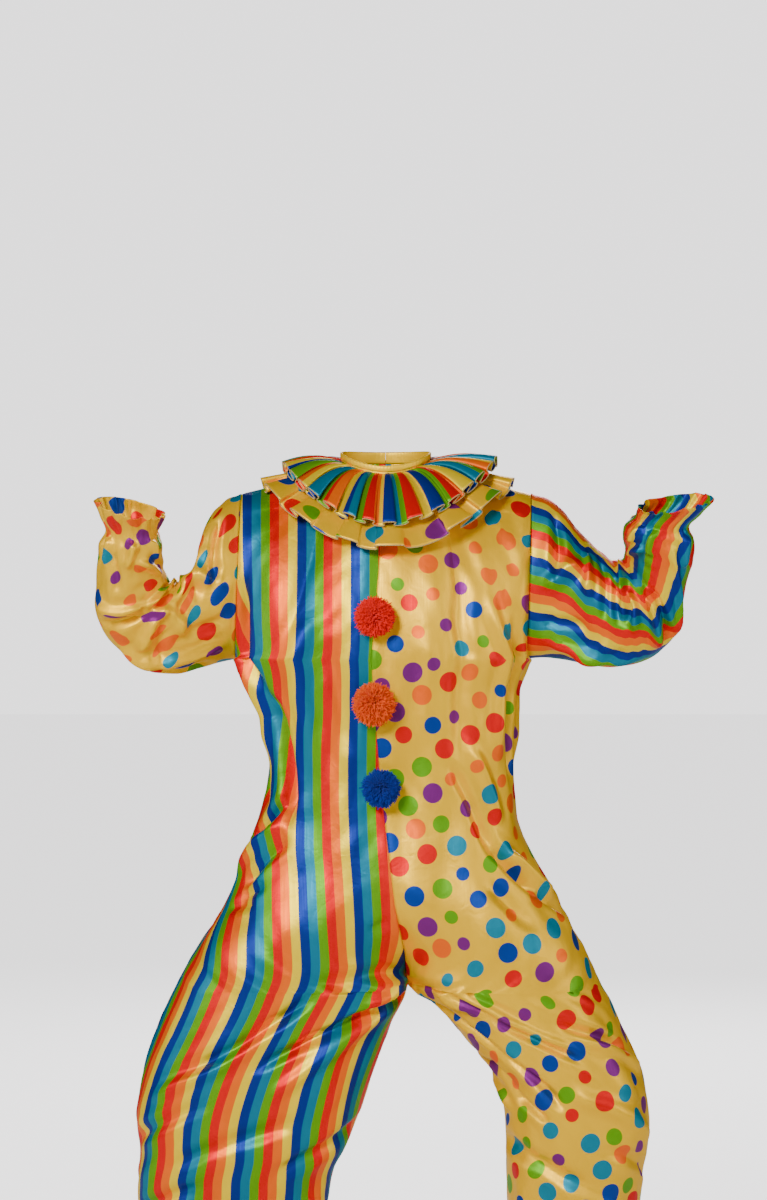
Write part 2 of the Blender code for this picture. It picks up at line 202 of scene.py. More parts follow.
def unit(vectors):
    """Each vector divided by its own length."""
    return vectors / np.maximum(np.linalg.norm(vectors, axis=-1, keepdims=True), 1e-12)


def rise(value, low, high):
    """0 below low, 1 above high, and a smooth step between them."""
    t = np.clip((value - low) / (high - low), 0, 1)
    return t * t * (3 - 2 * t)


def neck_height(turn):
    """Height of the neckband's lower edge; turn is 0 in front and half a circle behind."""
    return NECK_BACK - NECK_DROP * ((1 + np.cos(turn)) / 2) ** 3


def sleeve_ring(columns, row, turn):
    """An oval through a ring's upper point (turn 0), its front, its lower point and its back.

    Its middle is half way between the two points, and its points lie at the middle, plus cosine of
    the turn times half their distance, plus sine times half the size front to back.
    """
    count = np.arange(len(columns["hang"]), dtype=float)
    here = {name: smooth(count, values, row)[..., None] for name, values in columns.items()}
    upper = points(here["upper_x"], 0.0, here["upper_z"])
    lower = points(here["lower_x"], 0.0, here["lower_z"])
    middle = (upper + lower) / 2 + points(0.0, here["middle_y"], 0.0)
    forward = points(0.0, -here["half_depth"], -here["hang"])
    cosine, sine = np.cos(turn)[..., None], np.sin(turn)[..., None]
    return middle + cosine * (upper - lower) / 2 + sine * forward


def depth_share(across, closing):
    """How deep a section is across the panel: a half oval that closes into a leg's ring."""
    trunk = np.clip(np.cos(across * np.pi / 2), 0, 1) ** TRUNK_POWER
    leg = np.clip(np.sin(across * np.pi), 0, 1) ** LEG_POWER
    return trunk + (leg - trunk) * closing


def lower_body(half, face, across, z):
    """Below the armpit: a half oval round the trunk, which closes into a ring round each leg."""
    side_x = at(half.body, "side", z)
    centre_x = at(half.body, "centre", z)
    depth = face * at(half.body, "front" if face == FRONT else "back", z)
    leg_middle = (at(half.body, "back", z) - at(half.body, "front", z)) / 2
    seam_y = leg_middle * rise(CROTCH - z, 0, SEAM_SHIFT)
    closing = np.clip((HIP - z) / (HIP - CROTCH), 0, 1) ** 2
    fullest = depth_share(np.linspace(0, 1, 65), closing[..., None]).max(axis=-1)
    trunk_share = np.sin(across * np.pi / 2) ** TRUNK_POWER
    cosine = np.cos(across * np.pi)
    leg_share = (1 - np.sign(cosine) * np.abs(cosine) ** LEG_POWER) / 2
    x = centre_x + (side_x - centre_x) * (trunk_share + (leg_share - trunk_share) * closing)
    return points(x, seam_y + (depth - seam_y) * depth_share(across, closing) / fullest, z)


def top_edge(half, face, across):
    """The neckline's quarter oval, then the shoulder seam out to the armhole's highest point."""
    turn = np.clip(across / NECKLINE_SHARE, 0, 1) * np.pi / 2
    out = np.clip((across - NECKLINE_SHARE) / (1 - NECKLINE_SHARE), 0, 1)
    tip_x = abs(half.sleeve["upper_x"][0])
    tip_z = half.sleeve["upper_z"][0]
    neckline = neck_height(turn if face == FRONT else np.pi - turn) - 3 * NECK_LAYER
    x = half.side * (NECK_WIDTH * np.sin(turn) + (tip_x - NECK_WIDTH) * out)
    y = face * NECK_DEPTH * np.cos(turn)
    return points(x, y, neckline + (tip_z - neckline) * out**SHOULDER_SAG)


def yoke(half, face, across, down):
    """From the top edge to the armpit: a patch stretched between its four edges (Coons)."""
    across, down = np.broadcast_arrays(across, down)
    chest = np.full_like(down, ARMPIT)
    nowhere = np.zeros_like(across)
    top = top_edge(half, face, across)
    bottom = lower_body(half, face, across, chest)
    neck_point = top_edge(half, face, nowhere)
    tip = top_edge(half, face, nowhere + 1)
    centre_point = lower_body(half, face, nowhere, chest)
    armpit = lower_body(half, face, nowhere + 1, chest)
    bow = np.sin(down * np.pi / 2)
    straight = neck_point + (centre_point - neck_point) * down[..., None]
    centre = straight + points(0.0, (centre_point - neck_point)[..., 1] * (bow - down), 0.0)
    arm = sleeve_ring(half.sleeve, np.zeros(down.shape), -face * down[..., None] * np.pi)[..., 0, :]
    a, d = across[..., None], down[..., None]
    edges = (1 - d) * top + d * bottom + (1 - a) * centre + a * arm
    corners = (1 - d) * ((1 - a) * neck_point + a * tip) + d * ((1 - a) * centre_point + a * armpit)
    return edges - corners


def body_surface(half, face, across, level):
    """The panel's middle surface; level is the height, or in the yoke the way down from its top."""
    across, level = np.broadcast_arrays(across, level)
    upper = yoke(half, face, across, np.clip(level / ARMPIT, 0, 1))
    lower = lower_body(half, face, across, np.minimum(level, ARMPIT))
    return np.where((level > ARMPIT)[..., None], upper, lower)


def run_length(grid, axis):
    """How far each point is along its row or column of the grid, from 0 at the first."""
    steps = np.linalg.norm(np.diff(grid, axis=axis), axis=-1)
    start = np.zeros_like(np.take(steps, [0], axis=axis))
    return np.concatenate([start, np.cumsum(steps, axis=axis)], axis=axis)


def evened(grid, columns):
    """Each row's points again, at equal steps along it."""
    length = run_length(grid, 1)
    share = np.linspace(0, 1, columns + 1)
    rows = [
        np.stack([np.interp(share * run[-1], run, row[:, i]) for i in range(3)], axis=-1)
        for run, row in zip(length, grid)
    ]
    return np.array(rows)


def outward(grid, sign):
    """Unit normals of a grid, from its points' differences along both ways."""
    return unit(np.cross(np.gradient(grid, axis=0), np.gradient(grid, axis=1))) * sign


def panel_levels(half):
    """Heights of a panel's rows: closer together at the crotch and where the ankle gathers."""
    end = half.body["z"][-1]
    shin = end + SHIN_TOP
    crotch_rows = HIP + (CROTCH - HIP) * np.sin(np.linspace(0, np.pi / 2, 47))
    parts = [
        np.linspace(0, ARMPIT, 61)[:-1],
        np.linspace(ARMPIT, HIP, 65)[:-1],
        crotch_rows[:-1],
        np.linspace(CROTCH, shin, 91)[:-1],
        np.linspace(shin, end, 52),
    ]
    return np.concatenate(parts)


# Creases of the two halves. Each runs from one place to another, given by its share
# round the half (0 the front's centre edge, 100 the side seam, 200 the back's centre edge) and its
# height; bow is how far its middle stands off the straight line, height is above 0 for a ridge and
# under 0 for a trough, and width is half its own, all in millimetres.
Crease = namedtuple("Crease", "share_a z_a share_b z_b bow height width")


def creases(*rows):
    """Creases from rows of numbers."""
    return [Crease(*row) for row in rows]


RIGHT_CREASES = creases(
    (97, -140, 64, -330, 6, -13, 13),
    (65, -320, 55, -520, -4, -14, 12),
    (80, -250, 76, -430, -5, 8, 15),
    (92, -330, 84, -500, 5, -7, 14),
    (38, -190, 42, -440, 6, 5, 22),
    (22, -240, 20, -420, -5, -4, 18),
    (57, -478, 88, -548, 5, -9, 10),
    (56, -505, 92, -590, 6, 7, 11),
    (52, -530, 78, -606, 5, -8, 11),
    (60, -596, 76, -618, 2, -5, 8),
    (64, -618, 80, -634, 2, -4, 8),
    (2, -640, 13, -662, 2, -4, 8),
    (2, -716, 44, -738, 6, -5, 12),
    (42, -736, 74, -862, -14, -11, 14),
    (2, -728, 30, -770, 5, 8, 12),
    (5, -738, 54, -856, 10, -10, 12),
    (16, -770, 46, -900, 8, 6, 16),
    (46, -772, 84, -900, -10, 7, 16),
    (60, -884, 96, -960, -8, -6, 16),
    (30, -920, 74, -990, 8, -6, 18),
    (2, -930, 40, -1004, 8, -7, 16),
    (56, -1010, 96, -1080, 6, -7, 16),
    (10, -1040, 58, -1120, 8, 6, 20),
    (34, -1090, 78, -1180, -8, -7, 15),
    (6, -1110, 30, -1190, 6, -6, 14),
    (104, -200, 130, -420, 8, 7, 18),
    (128, -180, 146, -430, -8, -8, 16),
    (160, -220, 164, -480, 8, 6, 22),
    (108, -480, 142, -590, 8, -8, 13),
    (112, -520, 150, -640, 6, 7, 13),
    (197, -706, 160, -752, 8, -9, 12),
    (162, -748, 124, -870, -12, -9, 14),
    (196, -742, 146, -860, 8, -8, 13),
    (180, -780, 140, -910, 8, 7, 16),
    (176, -900, 120, -990, 8, -7, 17),
    (190, -1000, 130, -1080, -8, -7, 16),
    (170, -1090, 112, -1180, 8, 6, 17),
)
LEFT_CREASES = creases(
    (52, -150, 44, -440, -6, -6, 17),
    (70, -160, 66, -440, 6, 8, 14),
    (86, -170, 80, -470, -5, -10, 12),
    (96, -240, 94, -430, 5, 6, 13),
    (28, -230, 24, -400, 5, 4, 18),
    (38, -420, 57, -566, 7, -8, 12),
    (50, -400, 66, -520, 5, 6, 13),
    (57, -540, 72, -606, -4, -12, 11),
    (70, -600, 98, -690, 8, -11, 12),
    (62, -548, 84, -626, 5, 8, 11),
    (44, -590, 58, -660, 5, -4, 14),
    (2, -738, 32, -748, 4, -6, 11),
    (30, -744, 60, -838, -8, -10, 12),
    (32, -730, 60, -826, -14, 7, 12),
    (12, -748, 31, -830, 5, -11, 10),
    (22, -742, 46, -800, 5, 7, 11),
    (56, -786, 84, -826, 5, -8, 11),
    (60, -806, 92, -862, 5, 6, 12),
    (28, -820, 44, -908, 5, -8, 11),
    (-8, -812, 22, -858, 4, -10, 11),
    (20, -838, 24, -892, 3, -7, 9),
    (22, -888, 38, -922, 3, -8, 9),
    (2, -866, 20, -916, 4, 6, 11),
    (46, -880, 88, -960, 8, 6, 18),
    (4, -950, 56, -1020, 8, -7, 16),
    (40, -1010, 94, -1080, -6, 6, 18),
    (56, -960, 96, -1010, 6, -6, 14),
    (10, -1070, 66, -1150, 8, -7, 16),
    (104, -200, 124, -420, 8, -7, 17),
    (128, -180, 142, -450, -8, 7, 18),
    (160, -220, 158, -480, 6, -6, 20),
    (108, -500, 144, -600, 8, -8, 13),
    (112, -540, 150, -650, 6, 7, 13),
    (197, -706, 160, -754, 8, -9, 12),
    (160, -750, 124, -860, -10, -9, 13),
    (196, -744, 142, -850, -8, -8, 13),
    (192, -790, 150, -890, 8, 7, 15),
    (180, -900, 118, -980, 8, -7, 17),
    (188, -1000, 128, -1080, -8, -7, 16),
    (168, -1090, 114, -1160, 8, 6, 17),
)
CREASES = {RIGHT.side: RIGHT_CREASES, LEFT.side: LEFT_CREASES}
CREASE_DEPTH = 1.4  # how much deeper all the creases are than their rows say
CREASE_POINTS = 13


def crease_line(crease):
    """Equal steps from one end of a crease to the other: shares, and heights or ways along."""
    k = np.linspace(0, 1, CREASE_POINTS)
    shares = (crease.share_a + (crease.share_b - crease.share_a) * k) / 100
    return shares, (crease.z_a + (crease.z_b - crease.z_a) * k) * MM


def crease_height(u, v, line_u, line_v, crease):
    """How far a crease lifts the cloth at each place (u, v) of it.

    With q the distance to the crease's bowed line over its width, the lift is the height times
    (1 - 0.9 times q squared) times e to the minus q squared, and it fades out over the first and
    last quarter of the line.
    """
    bow, height, width = crease.bow * MM, crease.height * MM, crease.width * MM
    count = len(line_u)
    along = np.linspace(0, 1, count)
    du, dv = np.gradient(line_u), np.gradient(line_v)
    size = np.hypot(du, dv)
    line_u = line_u - dv / size * bow * np.sin(along * np.pi)
    line_v = line_v + du / size * bow * np.sin(along * np.pi)
    start_u, start_v = line_u[:-1], line_v[:-1]
    step_u, step_v = np.diff(line_u), np.diff(line_v)
    off_u, off_v = u[..., None] - start_u, v[..., None] - start_v
    part = np.clip((off_u * step_u + off_v * step_v) / (step_u**2 + step_v**2), 0, 1)
    apart = np.hypot(off_u - part * step_u, off_v - part * step_v)
    nearest = apart.argmin(axis=-1)[..., None]
    q2 = (np.take_along_axis(apart, nearest, -1)[..., 0] / width) ** 2
    place = (nearest[..., 0] + np.take_along_axis(part, nearest, -1)[..., 0]) / (count - 1)
    taper = rise(np.minimum(place, 1 - place), -0.02, 0.25)
    return CREASE_DEPTH * height * (1 - 0.9 * q2) * np.exp(-q2) * taper


def waves(u, v, seed, count, shortest, longest, lean):
    """Low uneven waves: cosines of several lengths and directions, added and scaled to 1."""
    draw = np.random.default_rng(seed)
    total = np.zeros_like(u)
    for _ in range(count):
        length = draw.uniform(shortest, longest)
        angle = draw.normal(lean, 0.45)
        phase = draw.uniform(0, 2 * np.pi)
        total += np.cos(2 * np.pi * (u * np.cos(angle) + v * np.sin(angle)) / length + phase)
    return total / np.sqrt(count / 2)


def gathers(share, seed, folds):
    """Uneven gathers round a ring, from -1 to 1: sharp crests with rounder hollows between.

    share is how far round the ring, from 0 to 1. The folds' places are bent by slow sines, and
    their heights differ; it ends as it begins.
    """
    draw = np.random.default_rng(seed)
    angle = 2 * np.pi * share
    bent = folds * angle
    for k in (2, 3, 5, 7):
        bent = bent + draw.uniform(0.5, 1.1) * np.sin(k * angle + draw.uniform(0, 2 * np.pi))
    size = 0.72 + 0.28 * np.sin(4 * angle + draw.uniform(0, 2 * np.pi))
    crest = 1 - 2 * np.abs(np.sin(bent / 2)) ** 0.8
    return crest * size


Elastic = namedtuple("Elastic", "fade tight wide drawn_tight drawn_wide frill_tight frill_wide")
# How far before the elastic its gathers reach; the seed and count of the tight and the wide ones;
# and how high each are where they are drawn in and in the frill, in millimetres.
ANKLE = Elastic(26, (31, 30), (37, 17), 2.2, 3.4, 2.0, 4.6)
CUFF = Elastic(24, (61, 26), (67, 13), 1.4, 2.8, 1.4, 4.2)


def elastic_gathers(kind, side, share, past, frill):
    """How far an elastic lifts the cloth; past is how far beyond the elastic a place is.

    Before the elastic the gathers fade by e to the minus distance, the wide ones starting a little
    away from it. Beyond it the tight ones turn into the wide ones along the frill's length.
    """
    tight, wide = (gathers(share, seed + side, folds) for seed, folds in (kind.tight, kind.wide))
    near = np.abs(past)
    beyond = np.clip(past / frill, 0, 1)
    wide_here = kind.drawn_wide * MM * wide * rise(near, 2 * MM, kind.fade * MM)
    drawn = np.exp(-near / (kind.fade * MM)) * (kind.drawn_tight * MM * tight + wide_here)
    frilled = kind.frill_tight * MM * tight * (1 - beyond) + kind.frill_wide * MM * wide * beyond
    return np.where(past < 0, drawn, frilled)


def half_body(half):
    """Front and back panel of one half, as grids.

    The surface is made even along its rows, then pushed along its normals by the creases, by low
    waves, by the seams' own dips and by the ankle's gathers.
    """
    level = panel_levels(half)
    raw = {}
    for face in (FRONT, BACK):
        dense = body_surface(half, face, np.linspace(0, 1, ROW_SAMPLES)[None, :], level[:, None])
        raw[face] = evened(dense, COLUMNS)
    width = {face: run_length(raw[face], 1)[:, -1] for face in raw}
    normal = {face: outward(raw[face], -half.side * face) for face in raw}
    below_arm = level <= ARMPIT + 1e-6
    leg = level <= CROTCH + 1e-6
    shoulder = slice(int(COLUMNS * SHOULDER_START), None)
    for seam in ((below_arm, -1), (leg, 0), (0, shoulder)):
        mean = unit(normal[FRONT][seam] + normal[BACK][seam])
        normal[FRONT][seam] = mean
        normal[BACK][seam] = mean
    share = np.linspace(0, 1, COLUMNS + 1)[None, :]
    v = np.broadcast_to(level[:, None], raw[FRONT].shape[:2])
    on_leg = rise(-v, -CROTCH, -CROTCH + LEG_BLEND)
    whole = (width[FRONT] + width[BACK])[:, None]
    place = {FRONT: share * width[FRONT][:, None], BACK: whole - share * width[BACK][:, None]}

    def line_place(shares, heights):
        """How far round the half a share lies: shares of the front's width, then of the back's."""
        front = np.interp(-heights, -level, width[FRONT])
        back = np.interp(-heights, -level, width[BACK])
        over = np.where(shares > 2, (shares - 2) * front, 0)
        under = np.where(shares < 0, shares * back, 0)
        return np.clip(shares, 0, 1) * front + np.clip(shares - 1, 0, 1) * back + over + under

    lift = {face: np.zeros_like(v) for face in raw}
    for crease in CREASES[half.side]:
        shares, heights = crease_line(crease)
        round_again = [0]
        if crease.z_a * MM < CROTCH + 30 * MM:
            round_again = [0, 2] if shares.min() < 0.3 else [0, -2] if shares.max() > 1.7 else [0]
        for turn in round_again:
            line_u = line_place(shares + turn, heights)
            for face in raw:
                seen = crease_height(place[face], v, line_u, heights, crease)
                lift[face] += seen if turn == 0 else seen * on_leg
    ring_share = {face: place[face] / whole for face in raw}
    elastic = half.body["z"][-3]
    for face in raw:
        centre_far = place[FRONT] if face == FRONT else whole - place[BACK]
        side_far = np.abs(place[face] - width[FRONT][:, None])
        across = place[face]
        broad = waves(across, v * 0.55, 5 + half.side, 14, 55 * MM, 150 * MM, 0.0) * 1.5 * MM
        small = waves(across, v * 0.8, 9 + half.side, 16, 22 * MM, 50 * MM, 0.5) * 0.35 * MM
        lift[face] = lift[face] + broad + small
        seamed = np.where(v > CROTCH, 1 - rise(-v, -CROTCH - 60 * MM, -CROTCH), 0)
        free = 1 - seamed * (1 - rise(centre_far, 0, 24 * MM))
        inseam = on_leg * (1 - rise(centre_far, 0, 14 * MM))
        free = free * (1 - inseam * 0.8)
        arm_far = width[face][:, None] - share * width[face][:, None]
        armhole = rise(v, ARMPIT, ARMPIT + 30 * MM) * (1 - rise(arm_far, 0, 20 * MM))
        free = free * (1 - armhole) * rise(-v, 0, 16 * MM)
        free = free * (1 - 0.7 * np.exp(-((side_far / (7 * MM)) ** 2)))
        lift[face] = lift[face] * free
        pucker = np.sin(v / (5.2 * MM) + 2 * np.sin(v / (19 * MM)))
        for far in (centre_far, side_far):
            puckered = 0.28 * MM * pucker * np.exp(-far / (9 * MM)) * rise(far, 0, 3 * MM)
            lift[face] = lift[face] - 0.9 * MM * np.exp(-((far / (3.2 * MM)) ** 2))
            lift[face] = lift[face] + puckered
        drawn = elastic_gathers(ANKLE, half.side, ring_share[face], elastic - v, 24 * MM)
        lift[face] = lift[face] + drawn
    return {face: raw[face] + normal[face] * lift[face][..., None] for face in raw}


# Where the print sits on the cloth. Rows: height; where each half's guide line crosses it, across;
# how far out in the print that line is there; and the least width of cloth in a panel, which the
# gathers and the side folds take up.
PRINT = table(
    "z right_x right_u left_x left_u span",
    (0, -42, 32, 80, 100, 0),
    (-283, -42, 32, 80, 100, 0),
    (-342, -44, 32, 80, 100, 246),
    (-458, -46, 32, 84, 104, 250),
    (-550, -43, 32, 98, 118, 240),
    (-650, -35, 32, 120, 140, 0),
    (-708, -34, 32, 138, 158, 0),
    (-760, -56, 32, 166, 186, 0),
    (-829, -93, 32, 226, 246, 0),
    (-885, -112, 32, 254, 274, 0),
    (-952, -126, 32, 264, 284, 0),
    (-1100, -138, 32, 262, 284, 0),
    (-1215, -150, 32, 238, 268, 290),
    (-1300, -176, 32, 226, 262, 330),
)
PRINT_EASE = 7  # rows


def eased(values, rows):
    """Each column evened out over its neighbouring rows, weighted by e to the minus (steps / rows)
    squared. Cloth hardly shears, so a crease that ends can't shift the print from row to row.
    """
    steps = np.arange(-2 * rows, 2 * rows + 1)
    weights = np.exp(-((steps / rows) ** 2))
    padded = np.pad(values, ((2 * rows, 2 * rows), (0, 0)), mode="edge")
    total = sum(weight * padded[i : i + len(values)] for i, weight in enumerate(weights))
    return total / weights.sum()


def print_map(grid, half):
    """Where each point lies in the print, in metres: u outwards from the guide line, v down.

    u adds the steps along the row, without their part front to back above the armpit, where the
    cloth turns over the shoulder. v is the drop, and above the armpit the length along the column.
    """
    level = panel_levels(half)
    turned = np.clip(level / ARMPIT, 0, 1)[:, None]
    steps = np.diff(grid, axis=1)
    step = np.sqrt(steps[..., 0] ** 2 + (steps[..., 1] ** 2 + steps[..., 2] ** 2) * turned**2)
    run = np.concatenate([np.zeros((len(grid), 1)), np.cumsum(step, axis=1)], axis=1)
    least = np.interp(-level, -PRINT["z"], PRINT["span"])[:, None]
    scale = np.maximum(run[:, -1:], least) / run[:, -1:]
    side = "right" if half is RIGHT else "left"
    guide_x = half.side * at(PRINT, side + "_x", level)
    outward_x = np.maximum.accumulate(grid[..., 0] * half.side, axis=1)
    met = [np.interp(x, row, far) for x, row, far in zip(guide_x, outward_x, run)]
    guide_u = at(PRINT, side + "_u", level)[:, None]
    u = eased(guide_u + (run - np.array(met)[:, None]) * scale, PRINT_EASE)
    armpit_row = int(np.argmin(np.abs(level - ARMPIT)))
    down = run_length(grid, 0)
    v = np.where(level[:, None] > ARMPIT, -ARMPIT - (down[armpit_row] - down), -level[:, None])
    return np.stack([half.side * u, v], axis=-1)


SLEEVE_COLUMNS = 132
SLEEVE_ROWS = 130
RING_SAMPLES = 541
LENGTH_SAMPLES = 601

# Creases of the sleeves: the share round the arm (0 on top, 50 in front, 100 under it,
# below 0 behind) and the distance from the armhole along the arm's middle.
SLEEVE_CREASES = {
    RIGHT.side: creases(
        (14, 34, 54, 30, 5, 8, 11),
        (2, 166, 56, 4, 10, -9, 11),
        (20, 120, 56, 50, -5, 6, 10),
        (2, 174, 44, 156, 6, -10, 8),
        (10, 190, 50, 142, -5, 7, 8),
        (40, 156, 72, 66, -8, -8, 9),
        (48, 150, 90, 176, 5, 8, 9),
        (46, 136, 80, 128, -4, -8, 9),
        (60, 110, 84, 96, 4, 6, 9),
        (40, 170, 86, 206, -6, -7, 10),
        (85, 158, 84, 8, -6, -10, 10),
        (94, 150, 94, 30, 5, 7, 12),
        (66, 88, 70, 8, 4, 5, 12),
        (14, 210, 44, 262, 6, -6, 10),
        (60, 206, 72, 276, 6, 5, 12),
        (-8, 166, -50, 150, 6, -9, 10),
        (-12, 184, -60, 176, -6, 7, 11),
        (-30, 60, -60, 160, 8, -7, 14),
        (-84, 150, -82, 20, 6, -8, 13),
        (-60, 30, -70, 120, 6, 6, 14),
        (22, 252, 26, 296, 2, -5, 7),
        (52, 246, 48, 296, 3, -6, 7),
        (76, 252, 78, 296, 2, -5, 7),
        (-26, 250, -22, 296, 3, -5, 8),
        (-70, 250, -64, 296, 3, -5, 8),
    ),
    LEFT.side: creases(
        (12, 36, 52, 34, 5, 7, 11),
        (20, 98, 50, 84, 5, -8, 9),
        (30, 92, 58, 20, -6, -8, 11),
        (14, 130, 62, 106, 5, 6, 9),
        (4, 176, 44, 140, 6, -9, 8),
        (28, 150, 62, 127, -4, 9, 8),
        (36, 166, 64, 148, 4, -7, 7),
        (42, 160, 62, 134, 3, 7, 7),
        (38, 196, 84, 166, 6, -12, 8),
        (44, 206, 88, 190, -5, 8, 9),
        (55, 300, 91, 178, 5, -5, 7),
        (70, 120, 90, 60, 5, -7, 11),
        (88, 150, 84, 20, -6, -8, 12),
        (66, 90, 72, 10, 4, 5, 12),
        (14, 220, 42, 280, 6, -6, 10),
        (-8, 176, -50, 160, 6, -9, 10),
        (-12, 194, -60, 186, -6, 7, 11),
        (-30, 60, -60, 170, 8, -7, 14),
        (-84, 160, -82, 20, 6, -8, 13),
        (-60, 30, -70, 130, 6, 6, 14),
        (22, 268, 26, 314, 2, -5, 7),
        (44, 262, 42, 314, 3, -6, 7),
        (76, 268, 78, 314, 2, -5, 7),
        (-26, 266, -22, 314, 3, -5, 8),
        (-70, 266, -64, 314, 3, -5, 8),
    ),
}
SLEEVE_SPAN = 330 * MM  # the least width of cloth round the arm, which the cuff gathers


def sleeve(half):
    """A tube through the sleeve's rings, creased and gathered: (grid, print map).

    Rings lie at equal steps along the line of their middles, a little closer at the cuff. Columns
    start under the arm, run up the back, over the top and down the front.
    """
    rings = len(half.sleeve["hang"]) - 1
    dense_row = np.linspace(0, rings, LENGTH_SAMPLES)
    turn = np.linspace(-np.pi, np.pi, RING_SAMPLES)
    ends = np.broadcast_to(np.array([0.0, np.pi]), (LENGTH_SAMPLES, 2))
    two = sleeve_ring(half.sleeve, dense_row, ends)
    length = run_length(two.mean(axis=1)[None], 1)[0]
    share = np.linspace(0, 1, SLEEVE_ROWS + 1)
    share = share + 0.12 * np.sin(share * np.pi) * share
    row = np.interp(share * length[-1], length, dense_row)
    far = share * length[-1]
    elastic = np.interp(rings - 2, dense_row, length)
    dense = sleeve_ring(half.sleeve, row, np.broadcast_to(turn, (len(row), len(turn))))
    grid = evened(dense, SLEEVE_COLUMNS)
    girth = run_length(grid, 1)[:, -1]
    top_run = run_length(dense, 1)[:, len(turn) // 2]
    top = top_run / run_length(dense, 1)[:, -1]
    column = np.linspace(0, 1, SLEEVE_COLUMNS + 1)[None, :]
    u = (column - top[:, None]) * girth[:, None]
    v = np.broadcast_to(far[:, None], u.shape)
    looped = np.concatenate([grid[:, -2:-1], grid, grid[:, 1:2]], axis=1)
    normal = outward(looped, half.side)[:, 1:-1]
    normal[:, -1] = normal[:, 0]
    lift = waves(u, v, 13 + half.side, 12, 50 * MM, 120 * MM, 0.3) * 1.1 * MM
    lift = lift + waves(u, v, 17 + half.side, 14, 18 * MM, 40 * MM, 1.2) * 0.35 * MM
    for crease in SLEEVE_CREASES[half.side]:
        around, along = crease_line(crease)
        line_u = around * np.interp(along, far, girth) / 2
        lift = lift + crease_height(u, v, line_u, along, crease)
    seam = rise(column, 0, 0.03) * rise(1 - column, 0, 0.03)
    lift = lift * seam * rise(v, 0, 22 * MM)
    lift = lift - 0.8 * MM * np.exp(-((v / (3 * MM)) ** 2))
    past = v - elastic
    lift = lift + elastic_gathers(CUFF, half.side, column + 0 * v, past, far[-1] - elastic)
    grid = grid + normal * lift[..., None]
    run = run_length(grid, 1)
    span = run[:, -1:]
    scale = np.maximum(span, SLEEVE_SPAN) / span
    across = (run - top[:, None] * span) * scale
    return grid, np.stack([across, v], axis=-1)


Ruffle = namedtuple("Ruffle", "reach height wave arch fall grow pleats cloth depth side seed")
Sides = namedtuple("Sides", "right left front back")
# How far the outer edges reach and how high they are on each side; how deep a pleat is at the edge,
# and how far it leans over itself; how long the strip of cloth was, and how wide.
UPPER_RUFFLE = Ruffle(
    Sides(146, 158, 128, 116), Sides(-10, -3, -95, -52), 6.8, 5, 1.5, 0.55, 33, 1155, 92, 5, 3
)
LOWER_RUFFLE = Ruffle(
    Sides(174, 181, 132, 124), Sides(-37, -33, -128, -96), 8.5, 0, 1.15, 1.4, 15, 1040, 118, 6.5, 4
)
BACK_SLIT = 0.2 * MM


def ruffle(shape, layer, columns, rows):
    """A pleated flounce from the neck's oval to its own outer edge: (grid, print map).

    It runs out straight in plan, and falls by a power of the share out, with a slight arch. A pleat
    lifts the cloth by a sine of its phase and shifts it sideways by a sine of twice the phase, so
    that it leans over itself; both grow with a power of the share out. Slow sines added to the
    phase make the pleats uneven.
    """
    draw = np.random.default_rng(shape.seed)
    slit = BACK_SLIT / NECK_WIDTH
    share = np.linspace(0, 1, columns + 1)[None, :]
    angle = (share - 0.5) * 2 * (np.pi - slit)
    out = np.linspace(0, 1, rows + 1)[:, None]
    phase = shape.pleats * angle
    for k in (2, 3, 5, 8):
        size = draw.uniform(0.35, 0.8)
        phase = phase + size * np.sin(k * angle + draw.uniform(0, 6.3)) * np.cos(angle / 2)
    size = 1 + 0.3 * np.sin(3 * angle + draw.uniform(0, 6.3)) * np.cos(angle / 2)
    grown = out**shape.grow
    near_slit = 1 - np.exp(-((np.abs(angle) - np.pi) / 0.06) ** 2)
    lean = -shape.side * MM * grown * np.sin(2 * phase) * near_slit * size
    turn = angle + lean / (120 * MM)
    sine, cosine = np.sin(turn), np.cos(turn)
    reach_x = np.where(sine > 0, shape.reach.left, shape.reach.right) * MM * sine
    reach_y = -np.where(cosine > 0, shape.reach.front, shape.reach.back) * MM * cosine
    edge_side = np.where(sine > 0, shape.height.left, shape.height.right) * MM
    edge_end = np.where(cosine > 0, shape.height.front, shape.height.back) * MM
    edge_z = edge_side * sine**2 + edge_end * cosine**2
    neck_x, neck_y = NECK_WIDTH * sine, -NECK_DEPTH * cosine
    neck_z = neck_height(turn) - layer * NECK_LAYER
    z = neck_z + (edge_z - neck_z) * out**shape.fall + shape.arch * MM * np.sin(out * np.pi)
    grid = points(neck_x + (reach_x - neck_x) * out, neck_y + (reach_y - neck_y) * out, z)
    run = points(reach_x - neck_x, reach_y - neck_y, 0.0)
    fall = neck_z - edge_z
    slope = unit(unit(run) * fall[..., None] + points(0.0, 0.0, np.linalg.norm(run, axis=-1)))
    fine = 0.5 * MM * np.sin(3.0 * phase + 1) * np.exp(-out / 0.25) * rise(out, 0, 0.06)
    wave = shape.wave * MM * grown * np.sin(phase) * size + fine
    wave = wave + 1.2 * MM * grown * np.sin(0.37 * phase + 4 * out)
    u = share * shape.cloth * MM + 0 * out
    v = out * shape.depth * MM + 0 * share
    return grid + slope * wave[..., None], np.stack([u, v], axis=-1)


def tube(path, across, radius, sides):
    """A round thread along a path: a grid of rings, with across a vector square to each step."""
    along = unit(np.gradient(path, axis=0))
    first = unit(np.cross(along, across))
    second = np.cross(along, first)
    angle = np.linspace(0, 2 * np.pi, sides, endpoint=False)[None, :, None]
    spoke = np.cos(angle) * first[:, None] + np.sin(angle) * second[:, None]
    return path[:, None] + radius * spoke


